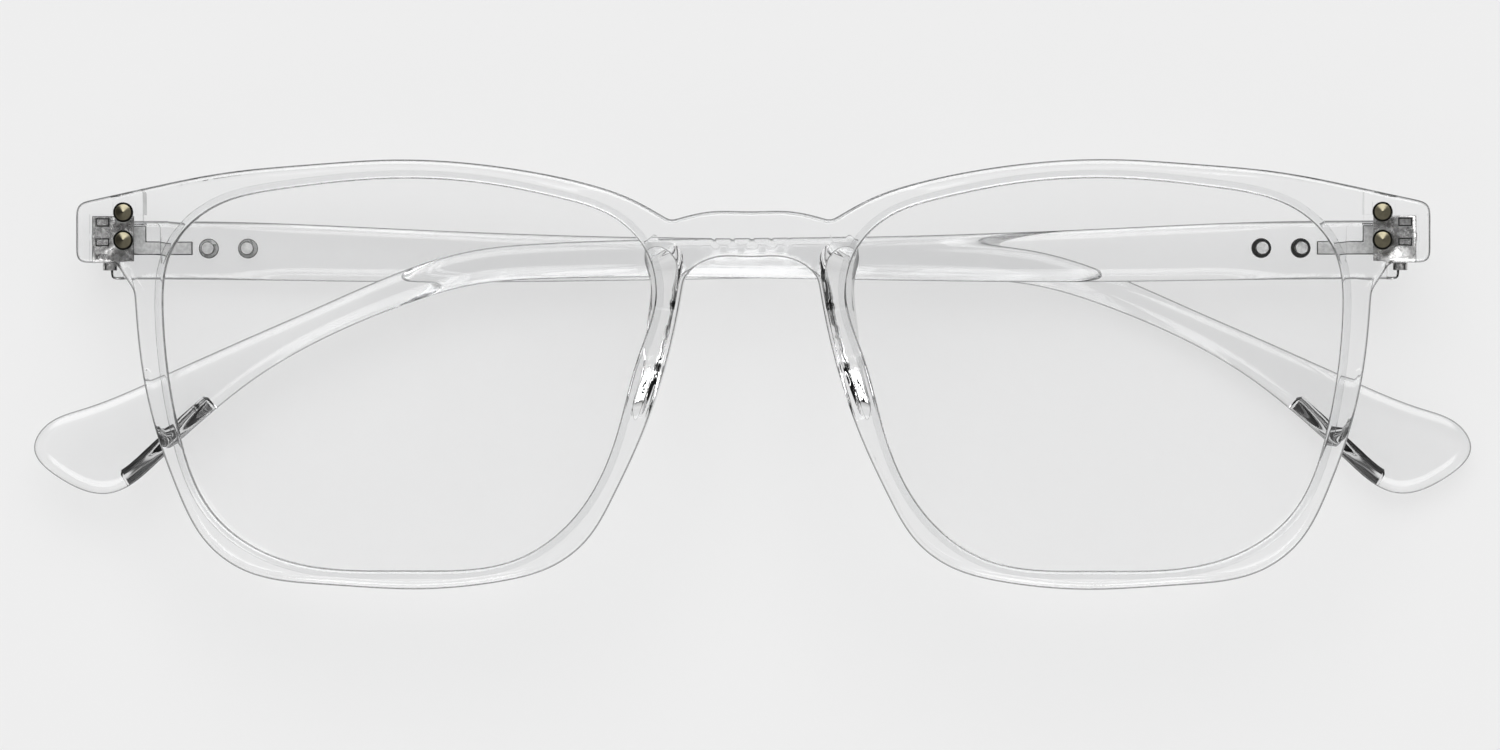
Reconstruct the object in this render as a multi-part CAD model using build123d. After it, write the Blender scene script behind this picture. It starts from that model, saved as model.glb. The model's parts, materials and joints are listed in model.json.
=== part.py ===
import math
import os

from build123d import *

# Square eyeglasses in clear plastic, folded and lying on their temples.
# Millimetres. +X runs across the front to the wearer's left, +Y runs up the front,
# and +Z is the way the front faces. The flat outer face of the right temple lies on Z = 0.

# Lenses and rims
lens_box_width = 53.0
lens_box_height = 42.3
bridge_width = 18.0
groove_depth = 0.85
rim_side_width = 2.9
rim_top_width = 1.95
front_thickness = 3.8
front_curve_radius = 500.0
front_edge_round = 0.5
lens_thickness = 2.0
lens_tongue_thickness = 0.9
lens_fit_gap = 0.05

# Bridge
bridge_top_height = 16.86
bridge_under_height = 12.1
bridge_leg_direction = (0.5, 1)

# End pieces, which wrap back from the front to the hinges
end_reach = 6.25
end_top_height = 17.8
end_height = 6.2
end_foot_share = 2 / 3
end_depth = 12.6
end_corner_round = 0.9
end_block_reach = 9.6
pocket_floor_depth = 8.9
pocket_gap = 0.15

# Temples
temple_reach = 142.6
temple_drop = 25.4
temple_height = 6.1
temple_centre_height = 13.0
temple_thickness = 3.4
temple_tip_thickness = 2.9
temple_edge_round = 0.7
axis_to_outer_face = 2.85
temple_stack_gap = 0.3

# Hinges
knuckle_count = 5
knuckle_length = 0.9
knuckle_gap = 0.05
knuckle_radius = 1.2
knuckle_relief = 0.3
stack_centre_height = 14.15
leaf_thickness = 0.9
leaf_edge = 0.35
leaf_fit_gap = 0.05
temple_leaf_reach = 8.8
temple_plate_reach = 4.4
temple_tongue_height = 1.4

# Hinge screws
screw_radius = 0.5
screw_bore_gap = 0.05
screw_head_radius = 0.75
screw_head_length = 0.9
screw_slot_width = 0.25
screw_slot_depth = 0.3

# Rivets
rivet_head_radius = 1.03
rivet_rim_height = 0.15
rivet_cone_height = 0.35
rivet_cone_radius = 0.2
rivet_head_sink = 0.3
rivet_shank_radius = 0.55
rivet_tail_radius = 0.7
rivet_tail_height = 0.3
rivet_fit_gap = 0.03
front_rivet_inset = 5.0
front_rivet_heights = {"upper": 16.85, "lower": 13.95}
temple_rivet_reaches = {"rear": 14.5, "front": 10.4}
temple_rivet_height = 13.2

# Nose pads
pad_depth = 5.2
pad_back_lean = 1.3
pad_back_share = 0.8
pad_end_share = 0.6
pad_round = 0.6
bond_gap = 0.02

# Cuts run past the faces that they open by this much
overrun = 1.0

# An edge nearer than this to the middle plane lies in it
middle_tolerance = 0.01

# Sizes that follow from the ones above
lens_spacing = lens_box_width + bridge_width
opening_half_width = lens_box_width / 2 - groove_depth
opening_half_height = lens_box_height / 2 - groove_depth
rim_half_width = opening_half_width + rim_side_width
rim_half_height = opening_half_height + rim_top_width
lens_centre_x = lens_spacing / 2
front_half_width = lens_centre_x + rim_half_width + end_reach
end_bottom_height = end_top_height - end_height
axis_x = front_half_width - axis_to_outer_face
axis_z = -end_depth
inner_face_level = temple_thickness - axis_to_outer_face
relief_radius = knuckle_radius + knuckle_relief
knuckle_pitch = knuckle_length + knuckle_gap
stack_length = knuckle_count * knuckle_pitch - knuckle_gap
stack_bottom = stack_centre_height - stack_length / 2
stack_top = stack_centre_height + stack_length / 2
screw_bore_radius = screw_radius + screw_bore_gap
end_wall = axis_to_outer_face - knuckle_radius - pocket_gap
pocket_top_height = stack_top + pocket_gap
front_rivet_x = -front_half_width + front_rivet_inset
fold_slope = math.asin((temple_thickness + temple_stack_gap) / (2 * axis_x))
fold_slope_deg = math.degrees(fold_slope)
row_lift = axis_to_outer_face + axis_x * math.sin(fold_slope) - axis_z * math.cos(fold_slope)
row_shift = axis_z * math.sin(fold_slope)

# Lens opening, as shares of its half width and half height; the first number grows to the nose
opening_shares = [
    (-0.03, 1.0), (0.35, 0.965), (0.62, 0.895), (0.83, 0.8), (0.965, 0.62), (1.0, 0.4),
    (0.93, 0.09), (0.84, -0.32), (0.68, -0.715), (0.44, -0.94), (0.0, -1.0),
    (-0.52, -0.94), (-0.795, -0.71), (-0.94, -0.27), (-1.0, 0.3), (-0.965, 0.635),
    (-0.82, 0.835), (-0.5, 0.95),
]

# Top edge of the front from the nose outward, as shares of the rim's half width and half height
brow_shares = [
    (0.953, 0.715), (0.89, 0.763), (0.81, 0.817), (0.66, 0.884), (0.42, 0.95),
    (0.15, 0.992), (-0.08, 1.0), (-0.35, 0.98), (-0.68, 0.94), (-0.965, 0.87),
]

# Outer edge of the rim from the end piece, round the bottom, to the bridge
rim_shares = [
    (-1.005, 0.39), (-0.985, 0.1), (-0.935, -0.22), (-0.85, -0.53), (-0.74, -0.785),
    (-0.61, -0.91), (-0.3, -0.98), (0.02, -1.0), (0.33, -0.965), (0.53, -0.89),
    (0.65, -0.77), (0.745, -0.57), (0.84, -0.31), (0.925, 0.0), (0.975, 0.26), (1.0, 0.44),
]

# Temple stations from the hinge back: shares of the reach, of the drop, and of the height
temple_station_shares = [
    (0.0, 0.0, 1.0), (0.08, 0.002, 1.0), (0.215, 0.022, 0.915), (0.387, 0.035, 0.745),
    (0.549, 0.035, 0.645), (0.625, 0.046, 0.61), (0.68, 0.076, 0.59), (0.733, 0.165, 0.585),
    (0.79, 0.303, 0.585), (0.835, 0.432, 0.74), (0.877, 0.578, 1.085), (0.917, 0.731, 1.52),
]

# A nose pad where it is bonded to the rim, as shares of the rim's half width and half height
pad_shares = [
    (0.865, 0.63), (0.904, 0.66), (0.953, 0.644), (1.0, 0.56), (0.992, 0.468),
    (0.972, 0.315), (0.937, 0.135), (0.908, 0.01), (0.879, -0.018), (0.851, 0.018),
    (0.862, 0.18), (0.879, 0.383), (0.872, 0.518),
]

# The paddle's end, from its upper edge round to its lower edge: shares of the reach and the drop
temple_end_shares = [(0.965, 0.655), (0.992, 0.725), (1.0, 0.81), (0.982, 0.935), (0.943, 1.0)]


def surface_depth(x):
    """How far the front's outer surface lies behind its middle at this distance from it."""
    return front_curve_radius - math.sqrt(front_curve_radius**2 - x**2)


def right_point(share_x, share_y, half_width, half_height):
    """A point about the wearer's right lens centre, which lies on the -X side."""
    return (-lens_centre_x + share_x * half_width, share_y * half_height)


def curved_slab(top_depth, bottom_depth):
    """All that lies between two depths behind the front's curved outer surface."""
    length = 2 * front_half_width
    axis = Location((0, 0, -front_curve_radius), (90, 0, 0))
    outer = axis * Cylinder(front_curve_radius - top_depth, length)
    inner = axis * Cylinder(front_curve_radius - bottom_depth, length)
    return outer - inner


def rectangle_between(low, high):
    """A rectangle in the XY plane from its low corner to its high one."""
    centre = Pos((low[0] + high[0]) / 2, (low[1] + high[1]) / 2)
    return centre * Rectangle(high[0] - low[0], high[1] - low[1])


def box_between(low, high):
    """A box from its low corner to its high one."""
    sizes = [top - bottom for bottom, top in zip(low, high)]
    centre = [(top + bottom) / 2 for bottom, top in zip(low, high)]
    return Pos(*centre) * Box(*sizes)


def prism(face, bottom, top):
    """The face in the XY plane, drawn out from one height to another."""
    return Pos(0, 0, bottom) * extrude(face, amount=top - bottom, dir=(0, 0, 1))


def opening_face(grow):
    """The lens opening, grown by this much all round."""
    half_width = opening_half_width + grow
    half_height = opening_half_height + grow
    points = [right_point(a, b, half_width, half_height) for a, b in opening_shares]
    return Face(Wire(Spline(*points, periodic=True)))


def front_half_face():
    """The wearer's right half of the front, seen from outside."""
    brow = [right_point(a, b, rim_half_width, rim_half_height) for a, b in brow_shares]
    rim = [right_point(a, b, rim_half_width, rim_half_height) for a, b in rim_shares]
    bridge_top = (0, bridge_top_height)
    bridge_under = (0, bridge_under_height)
    end_top = (-front_half_width, end_top_height)
    end_bottom = (-front_half_width, end_bottom_height)
    end_inner = (-front_half_width + end_foot_share * end_reach, end_bottom_height)
    under_side = (rim[-1][0] / 2, bridge_under_height)
    edges = [
        Spline(bridge_top, (brow[0][0] / 2, bridge_top_height), brow[0]),
        Spline(*brow, end_top),
        Line(end_top, end_bottom),
        Line(end_bottom, end_inner),
        Line(end_inner, rim[0]),
        Spline(*rim),
        Spline(rim[-1], under_side, bridge_under, tangents=[bridge_leg_direction, (1, 0)]),
        Line(bridge_under, bridge_top),
    ]
    return Face(Wire(edges))


def front_frame():
    """Rims, bridge and end pieces in one piece, with lens grooves and hinge pockets."""
    deepest = axis_z - overrun
    column = prism(front_half_face(), deepest, overrun)
    ends = column.edges().filter_by(Axis.Z).filter_by(lambda edge: edge.center().X < -axis_x)
    column = fillet(ends, end_corner_round)
    rims = column & curved_slab(0, front_thickness)
    block = box_between(
        (-front_half_width - overrun, end_bottom_height, axis_z),
        (-front_half_width + end_block_reach, end_top_height + end_height, overrun),
    )
    axis = Location((0, 0, -front_curve_radius), (90, 0, 0))
    bulk = axis * Cylinder(front_curve_radius, 2 * front_half_width)
    body = rims + (column & block & bulk)
    outer_face = body.faces().sort_by(Axis.Z)[-1]
    rounded = [edge for edge in outer_face.edges() if edge.center().X < -middle_tolerance]
    body = fillet(rounded, front_edge_round)
    opening = prism(opening_face(0), deepest, overrun)
    groove_inset = (front_thickness - lens_tongue_thickness) / 2
    groove = prism(opening_face(groove_depth), deepest, overrun)
    groove = groove & curved_slab(groove_inset, groove_inset + lens_tongue_thickness)
    body = body - opening - groove
    body = body - hinge_pocket()
    for height in front_rivet_heights.values():
        body = body - front_rivet_hole(height)
    return body + mirror(body, about=Plane.YZ)


def hinge_pocket():
    """The space behind the right end piece, where the hinge and the folded temple go."""
    outline = rectangle_between(
        (-front_half_width + end_wall, -rim_half_height), (-lens_centre_x, pocket_top_height)
    )
    notch = rectangle_between(
        (front_leaf_left() - pocket_gap, stack_centre_height),
        (front_leaf_right() + pocket_gap, front_leaf_top() + pocket_gap),
    )
    return prism(outline + notch, axis_z - overrun, -pocket_floor_depth)


def front_rivet_hole(height):
    """A stepped hole through the right end piece for one rivet."""
    shank = rod_along_z(rivet_shank_radius + rivet_fit_gap, axis_z, overrun)
    head = rod_along_z(rivet_head_radius + rivet_fit_gap, front_rivet_seat(), overrun)
    return Pos(front_rivet_x, height, 0) * (shank + head)


def lens():
    """The right lens, with a tongue round its edge that sits in the rim's groove."""
    deepest = axis_z - overrun
    inset = (front_thickness - lens_thickness) / 2
    tongue_inset = (front_thickness - lens_tongue_thickness) / 2 + lens_fit_gap
    plate = prism(opening_face(-lens_fit_gap), deepest, overrun)
    plate = plate & curved_slab(inset, inset + lens_thickness)
    tongue = prism(opening_face(groove_depth - lens_fit_gap), deepest, overrun)
    tongue_thickness = lens_tongue_thickness - 2 * lens_fit_gap
    return plate + (tongue & curved_slab(tongue_inset, tongue_inset + tongue_thickness))


def pad_section(level, share, lean):
    """The nose pad's outline at one level, drawn in about its middle and leaned outward."""
    outline = [right_point(a, b, rim_half_width, rim_half_height) for a, b in pad_shares]
    middle_x = sum(x for x, y in outline) / len(outline)
    middle_y = sum(y for x, y in outline) / len(outline)
    points = [
        (middle_x - lean + share * (x - middle_x), middle_y + share * (y - middle_y))
        for x, y in outline
    ]
    return Pos(0, 0, level) * Face(Wire(Spline(*points, periodic=True)))


def nose_pad():
    """The right nose pad: a leaning block with eased back edges, bonded behind the rim."""
    back_level = -front_thickness - pad_depth
    body = loft(
        [
            pad_section(back_level, pad_end_share, pad_back_lean),
            pad_section(back_level + pad_round, pad_back_share, pad_back_lean),
            pad_section(-front_thickness / 2, 1, 0),
        ],
        ruled=True,
    )
    return body & curved_slab(front_thickness + bond_gap, front_thickness + 2 * pad_depth)


def rod_along_z(radius, bottom, top):
    """A round rod about the Z axis."""
    return Pos(0, 0, (bottom + top) / 2) * Cylinder(radius, top - bottom)


def rod_along_y(radius, bottom, top):
    """A round rod about the Y axis."""
    return Location((0, (bottom + top) / 2, 0), (90, 0, 0)) * Cylinder(radius, top - bottom)


def front_rivet_seat():
    """The level of the step that a front rivet's head sits on."""
    return -surface_depth(front_rivet_x) - rivet_head_sink


def front_leaf_left():
    """The hinge side of the leaf's tab, which reaches past the upper rivet."""
    return front_rivet_x - rivet_tail_radius - leaf_edge


def front_leaf_right():
    """The lens side of the leaf."""
    return front_rivet_x + rivet_tail_radius + leaf_edge


def front_leaf_top():
    """The upper end of the leaf."""
    return max(front_rivet_heights.values()) + rivet_tail_radius + leaf_edge / 2


def knuckle_span(index):
    """The lower and upper ends of one knuckle of the hinge's stack."""
    bottom = stack_bottom + index * knuckle_pitch
    return bottom, bottom + knuckle_length


def screw_bore():
    """The bore of the knuckles about the Y axis."""
    return rod_along_y(screw_bore_radius, stack_bottom - overrun, stack_top + overrun)


def front_hinge_leaf():
    """The right front leaf: a plate on the pocket's floor and every second knuckle."""
    floor = -pocket_floor_depth
    plate_level = floor - leaf_thickness
    plate = box_between(
        (-axis_x - knuckle_radius, stack_bottom, plate_level),
        (front_leaf_right(), stack_top, floor),
    )
    tab = box_between(
        (front_leaf_left(), stack_centre_height, plate_level),
        (front_leaf_right(), front_leaf_top(), floor),
    )
    leaf = plate + tab
    for index in range(0, knuckle_count, 2):
        bottom, top = knuckle_span(index)
        arm = box_between(
            (-axis_x - knuckle_radius, bottom, axis_z), (-axis_x + knuckle_radius, top, plate_level)
        )
        leaf = leaf + arm + Pos(-axis_x, 0, axis_z) * rod_along_y(knuckle_radius, bottom, top)
    leaf = leaf - Pos(-axis_x, 0, axis_z) * screw_bore()
    for height in front_rivet_heights.values():
        hole = rod_along_z(rivet_shank_radius + rivet_fit_gap, axis_z, overrun)
        leaf = leaf - Pos(front_rivet_x, height, 0) * hole
    return leaf


def hinge_screw():
    """The right hinge screw, pushed up through the knuckles, with its slotted head below."""
    head_bottom = stack_bottom - screw_head_length
    shank = rod_along_y(screw_radius, stack_bottom - screw_head_length / 2, stack_top)
    head = rod_along_y(screw_head_radius, head_bottom, stack_bottom)
    slot = box_between(
        (-screw_head_radius, head_bottom - overrun, -screw_slot_width / 2),
        (screw_head_radius, head_bottom + screw_slot_depth, screw_slot_width / 2),
    )
    return Pos(-axis_x, 0, axis_z) * (shank + head - slot)


def front_rivet(height):
    """One rivet of the right end piece: a coned head, a shank and a tail spread on the leaf."""
    seat = front_rivet_seat()
    plate_level = -pocket_floor_depth - leaf_thickness
    rim_top = seat + rivet_head_sink + rivet_rim_height
    shank = rod_along_z(rivet_shank_radius, plate_level, rim_top)
    head = rod_along_z(rivet_head_radius, seat, rim_top)
    cone = Cone(rivet_head_radius, rivet_cone_radius, rivet_cone_height)
    cone = Pos(0, 0, rim_top + rivet_cone_height / 2) * cone
    tail = rod_along_z(rivet_tail_radius, plate_level - rivet_tail_height, plate_level)
    return Pos(front_rivet_x, height, 0) * (shank + head + cone + tail)


def temple_outline():
    """The right temple's side view, folded, with X measured from the hinge's axis."""
    upper = []
    lower = []
    for reach_share, drop_share, height_share in temple_station_shares:
        x = reach_share * temple_reach
        middle = temple_centre_height - drop_share * temple_drop
        half = height_share * temple_height / 2
        upper.append((x, middle + half))
        lower.append((x, middle - half))
    end = [
        (reach_share * temple_reach, temple_centre_height - drop_share * temple_drop)
        for reach_share, drop_share in temple_end_shares
    ]
    upper_edge = Spline(*upper)
    lower_edge = Spline(*lower)
    end_edge = Spline(
        upper[-1], *end, lower[-1], tangents=[upper_edge % 1, (lower_edge % 1) * -1]
    )
    return Face(Wire([upper_edge, end_edge, lower_edge, Line(lower[0], upper[0])]))


def temple_leaf_shape(start, grow, lid):
    """The plate and tongue of the temple's leaf, grown by this much, up to the level of its lid."""
    bottom, top = knuckle_span(1)[0] - grow, knuckle_span(knuckle_count - 2)[1] + grow
    level = inner_face_level - leaf_thickness - grow
    plate = box_between((start, bottom, level), (temple_plate_reach + grow, top, lid))
    half_tongue = temple_tongue_height / 2 + grow
    tongue = box_between(
        (start, temple_rivet_height - half_tongue, level),
        (temple_leaf_reach + grow, temple_rivet_height + half_tongue, lid),
    )
    return plate + tongue


def temple_rivet_hole(reach):
    """A stepped hole through the temple, with its step on the outer face."""
    shank = rod_along_z(rivet_shank_radius + rivet_fit_gap, -temple_thickness, temple_thickness)
    head = rod_along_z(
        rivet_head_radius + rivet_fit_gap, -temple_thickness, -axis_to_outer_face + 2 * rivet_head_sink
    )
    return Pos(reach, temple_rivet_height, 0) * (shank + head)


def temple():
    """The right temple, folded, about its hinge's axis."""
    outer = -axis_to_outer_face
    body = prism(temple_outline(), outer, inner_face_level)
    levels = body.faces().sort_by(Axis.Z)
    long_edges = (levels[0].edges() + levels[-1].edges()).filter_by(
        lambda edge: edge.length > 2 * temple_height
    )
    body = fillet(long_edges, temple_edge_round)
    taper_start = 2 * temple_leaf_reach
    side = Polyline(
        (-overrun, outer - overrun),
        (2 * temple_reach, outer - overrun),
        (temple_reach, outer + temple_tip_thickness),
        (taper_start, inner_face_level),
        (-overrun, inner_face_level),
        close=True,
    )
    side_face = Plane.XZ * Face(Wire(side.edges()))
    body = body & extrude(side_face, amount=4 * temple_drop, both=True)
    body = body - rod_along_y(relief_radius, -2 * temple_drop, 2 * temple_drop)
    body = body - temple_leaf_shape(0, leaf_fit_gap, inner_face_level + overrun)
    for reach in temple_rivet_reaches.values():
        body = body - temple_rivet_hole(reach)
    return body


def temple_hinge_leaf():
    """The right temple's leaf: a plate with a tongue, and the knuckles between the front's."""
    leaf = temple_leaf_shape(relief_radius, 0, inner_face_level)
    for index in range(1, knuckle_count, 2):
        bottom, top = knuckle_span(index)
        arm = box_between(
            (0, bottom, inner_face_level - leaf_thickness),
            (relief_radius + 2 * leaf_fit_gap, top, inner_face_level),
        )
        leaf = leaf + arm + rod_along_y(knuckle_radius, bottom, top)
    return leaf - screw_bore()


def temple_rivet(reach):
    """One rivet of the right temple: a flush head outside, a shank, and a tail inside."""
    head_bottom = -axis_to_outer_face + rivet_fit_gap
    head_top = -axis_to_outer_face + 2 * rivet_head_sink
    shank = rod_along_z(rivet_shank_radius, head_bottom, inner_face_level)
    head = rod_along_z(rivet_head_radius, head_bottom, head_top)
    tail = rod_along_z(rivet_tail_radius, inner_face_level, inner_face_level + rivet_tail_height)
    return Pos(reach, temple_rivet_height, 0) * (shank + head + tail)


def front_in_row(shape):
    """Puts a piece of the front where it lies when the glasses rest on the right temple."""
    return Pos(row_shift, 0, row_lift) * Rot(0, -fold_slope_deg, 0) * shape


def temple_in_row(shape, side):
    """Puts a piece of a temple at its hinge; both folded temples lie level, one on the other."""
    x = side * axis_x * math.cos(fold_slope)
    z = row_lift + axis_z * math.cos(fold_slope) + side * axis_x * math.sin(fold_slope)
    return Pos(x, 0, z) * shape


def mirrored(shape):
    """The wearer's left piece that matches a right one."""
    return mirror(shape, about=Plane.YZ)


def all_nodes():
    """Every piece by name, where it lies when the glasses are folded."""
    nodes = {"front_frame": front_in_row(front_frame())}
    front_pieces = {
        "lens": lens(),
        "nose_pad": nose_pad(),
        "front_hinge_leaf": front_hinge_leaf(),
        "hinge_screw": hinge_screw(),
    }
    for place, height in front_rivet_heights.items():
        front_pieces[f"front_rivet_{place}"] = front_rivet(height)
    temple_pieces = {"temple": temple(), "temple_hinge_leaf": temple_hinge_leaf()}
    for place, reach in temple_rivet_reaches.items():
        temple_pieces[f"temple_rivet_{place}"] = temple_rivet(reach)
    for name, shape in front_pieces.items():
        nodes[f"right_{name}"] = front_in_row(shape)
        nodes[f"left_{name}"] = front_in_row(mirrored(shape))
    for name, shape in temple_pieces.items():
        nodes[f"right_{name}"] = temple_in_row(shape, -1)
        nodes[f"left_{name}"] = temple_in_row(mirrored(shape), 1)
    return nodes


os.makedirs("parts", exist_ok=True)
for node_name, node_shape in all_nodes().items():
    export_step(node_shape, f"parts/{node_name}.step")
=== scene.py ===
import json
import math

import bmesh
import bpy
import numpy as np
from mathutils import Matrix, Vector
from mathutils.geometry import delaunay_2d_cdt


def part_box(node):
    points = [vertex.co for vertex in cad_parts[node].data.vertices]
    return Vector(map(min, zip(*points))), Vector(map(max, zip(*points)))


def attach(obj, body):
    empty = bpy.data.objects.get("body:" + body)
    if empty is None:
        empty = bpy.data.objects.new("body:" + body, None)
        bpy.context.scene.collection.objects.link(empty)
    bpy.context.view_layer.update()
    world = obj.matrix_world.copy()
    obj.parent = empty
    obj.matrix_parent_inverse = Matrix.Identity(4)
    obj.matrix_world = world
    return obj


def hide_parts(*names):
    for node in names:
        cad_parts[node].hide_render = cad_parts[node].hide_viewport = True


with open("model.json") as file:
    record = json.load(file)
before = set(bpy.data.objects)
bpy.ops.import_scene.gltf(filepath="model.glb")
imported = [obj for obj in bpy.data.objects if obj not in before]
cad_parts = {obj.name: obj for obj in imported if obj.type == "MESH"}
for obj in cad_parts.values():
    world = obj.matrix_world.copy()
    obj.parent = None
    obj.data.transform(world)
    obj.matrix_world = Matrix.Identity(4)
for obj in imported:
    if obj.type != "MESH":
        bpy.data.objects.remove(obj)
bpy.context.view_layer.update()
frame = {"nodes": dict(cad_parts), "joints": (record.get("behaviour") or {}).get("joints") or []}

MM = 0.001

# Sizes of the front and temples, in millimetres, as built
LENS_BOX_WIDTH = 53.0
LENS_BOX_HEIGHT = 42.3
BRIDGE_WIDTH = 18.0
GROOVE_DEPTH = 0.85
RIM_SIDE_WIDTH = 2.9
RIM_TOP_WIDTH = 1.95
FRONT_THICKNESS = 3.8
FRONT_CURVE_RADIUS = 500.0
FRONT_EDGE_ROUND = 0.5
LENS_THICKNESS = 2.0
TONGUE_THICKNESS = 0.9
LENS_FIT_GAP = 0.05
BRIDGE_TOP = 16.86
BRIDGE_UNDER = 12.1
BRIDGE_LEG_DIRECTION = (0.5, 1.0)
END_REACH = 6.25
END_TOP = 17.8
END_HEIGHT = 6.2
END_FOOT_SHARE = 2 / 3
END_DEPTH = 12.6
END_CORNER_ROUND = 0.9
END_BLOCK_REACH = 8.8
POCKET_FLOOR = 8.9
POCKET_GAP = 0.15
THICK_TOP = 15.8
THICK_CORNER = 0.8
TAB_WALL = 0.8
LEAF_TAB_HALF = 1.2
NOTCH_TOP = 17.875
TEMPLE_REACH = 142.6
TEMPLE_DROP = 25.4
TEMPLE_HEIGHT = 6.1
TEMPLE_CENTRE = 13.0
TEMPLE_THICKNESS = 3.4
TEMPLE_TIP_THICKNESS = 2.9
TEMPLE_EDGE_ROUND = 0.7
AXIS_TO_OUTER = 2.85
KNUCKLE_RADIUS = 1.2
KNUCKLE_RELIEF = 0.3
STACK_CENTRE = 14.15
STACK_HALF = 2.35
RIVET_HEAD_RADIUS = 1.03
RIVET_SHANK_RADIUS = 0.55
RIVET_FIT_GAP = 0.03
RIVET_SINK = 0.3
FRONT_RIVET_INSET = 5.0
FRONT_RIVET_HEIGHTS = (16.85, 13.95)
TEMPLE_RIVET_REACHES = (14.5, 10.4)
TEMPLE_RIVET_HEIGHT = 13.2
TEMPLE_PLATE_REACH = 4.45
TEMPLE_PLATE_HEIGHTS = (12.7, 15.6)
TEMPLE_TONGUE_REACH = 8.85
TEMPLE_TONGUE_HALF = 0.75
LEAF_SEAT = 0.95
PAD_DEPTH = 5.2
PAD_LEAN = 0.25
PAD_ROUND = 0.6
PAD_BACK_SHARE = 0.86
PAD_TAIL = (1.5, -6.3)
PAD_HEAD = (6.8, 14.9)
PAD_END_SHARE = 0.12
PAD_TAPER = 1.5
PAD_OVERLAP = 0.5
OVERRUN = 1.0
LEAF_THICKNESS = 0.9
METAL_EDGE = 0.1
KNUCKLE_BOXES = (((-68.3, 15.4), (-66.84, 16.29)), ((-68.3, 13.38), (-66.84, 14.2)))
BOX_GROOVE = (0.14, 0.25)
TAB_DISC_RADIUS = 0.98
TAB_CUT_HALF = 2.0
RIVET_TAIL_RADIUS = 0.7
RIVET_TAIL_HEIGHT = 0.3
RIVET_RIM_HEIGHT = 0.15
RIVET_CONE_HEIGHT = 0.35
RIVET_RING_RADIUS = 0.82
RIVET_TIP_RADIUS = 0.05
RIVET_TURNINGS = 9
RIVET_TURNING_DEPTH = 0.006

OPENING_HALF_WIDTH = LENS_BOX_WIDTH / 2 - GROOVE_DEPTH
OPENING_HALF_HEIGHT = LENS_BOX_HEIGHT / 2 - GROOVE_DEPTH
RIM_HALF_WIDTH = OPENING_HALF_WIDTH + RIM_SIDE_WIDTH
RIM_HALF_HEIGHT = OPENING_HALF_HEIGHT + RIM_TOP_WIDTH
LENS_CENTRE = (LENS_BOX_WIDTH + BRIDGE_WIDTH) / 2
FRONT_HALF_WIDTH = LENS_CENTRE + RIM_HALF_WIDTH + END_REACH
END_BOTTOM = END_TOP - END_HEIGHT
GROOVE_TOP = (FRONT_THICKNESS - TONGUE_THICKNESS) / 2
INNER_FACE = TEMPLE_THICKNESS - AXIS_TO_OUTER
END_WALL = AXIS_TO_OUTER - KNUCKLE_RADIUS - POCKET_GAP
END_FOOT = (-FRONT_HALF_WIDTH + END_FOOT_SHARE * END_REACH, END_BOTTOM)
RIVET_X = -FRONT_HALF_WIDTH + FRONT_RIVET_INSET
RIVET_SEAT_RADIUS = RIVET_HEAD_RADIUS + RIVET_FIT_GAP
RIVET_BORE_RADIUS = RIVET_SHANK_RADIUS + RIVET_FIT_GAP
TAB_WALL_X = RIVET_X + LEAF_TAB_HALF + TAB_WALL

OPENING_SHARES = [
    (-0.03, 1.0), (0.35, 0.965), (0.62, 0.895), (0.83, 0.8), (0.965, 0.62), (1.0, 0.4),
    (0.93, 0.09), (0.84, -0.32), (0.68, -0.715), (0.44, -0.94), (0.0, -1.0),
    (-0.52, -0.94), (-0.795, -0.71), (-0.94, -0.27), (-1.0, 0.3), (-0.965, 0.635),
    (-0.82, 0.835), (-0.5, 0.95),
]
BROW_SHARES = [
    (0.953, 0.715), (0.89, 0.763), (0.81, 0.817), (0.66, 0.884), (0.42, 0.95),
    (0.15, 0.992), (-0.08, 1.0), (-0.35, 0.98), (-0.68, 0.94), (-0.965, 0.87),
]
RIM_SHARES = [
    (-1.005, 0.39), (-0.985, 0.1), (-0.935, -0.22), (-0.85, -0.53), (-0.74, -0.785),
    (-0.61, -0.91), (-0.3, -0.98), (0.02, -1.0), (0.33, -0.965), (0.53, -0.89),
    (0.65, -0.77), (0.745, -0.57), (0.84, -0.31), (0.925, 0.0), (0.975, 0.26), (1.0, 0.44),
]
TEMPLE_STATION_SHARES = [
    (0.0, 0.0, 1.0), (0.08, 0.002, 1.0), (0.215, 0.022, 0.915), (0.387, 0.035, 0.745),
    (0.549, 0.035, 0.645), (0.625, 0.046, 0.61), (0.68, 0.076, 0.59), (0.733, 0.165, 0.585),
    (0.79, 0.303, 0.585), (0.835, 0.432, 0.74), (0.877, 0.578, 1.085), (0.917, 0.731, 1.52),
]
PAD_SHARES = [
    (0.865, 0.63), (0.904, 0.66), (0.953, 0.644), (1.0, 0.56), (0.992, 0.468),
    (0.972, 0.315), (0.937, 0.135), (0.908, 0.01), (0.868, -0.14), (0.838, -0.25), (0.822, -0.285),
    (0.812, -0.25), (0.826, -0.12), (0.851, 0.018), (0.862, 0.18), (0.879, 0.383), (0.872, 0.518),
]
TEMPLE_END_SHARES = [(0.965, 0.655), (0.992, 0.725), (1.0, 0.81), (0.982, 0.935), (0.943, 1.0)]

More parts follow.
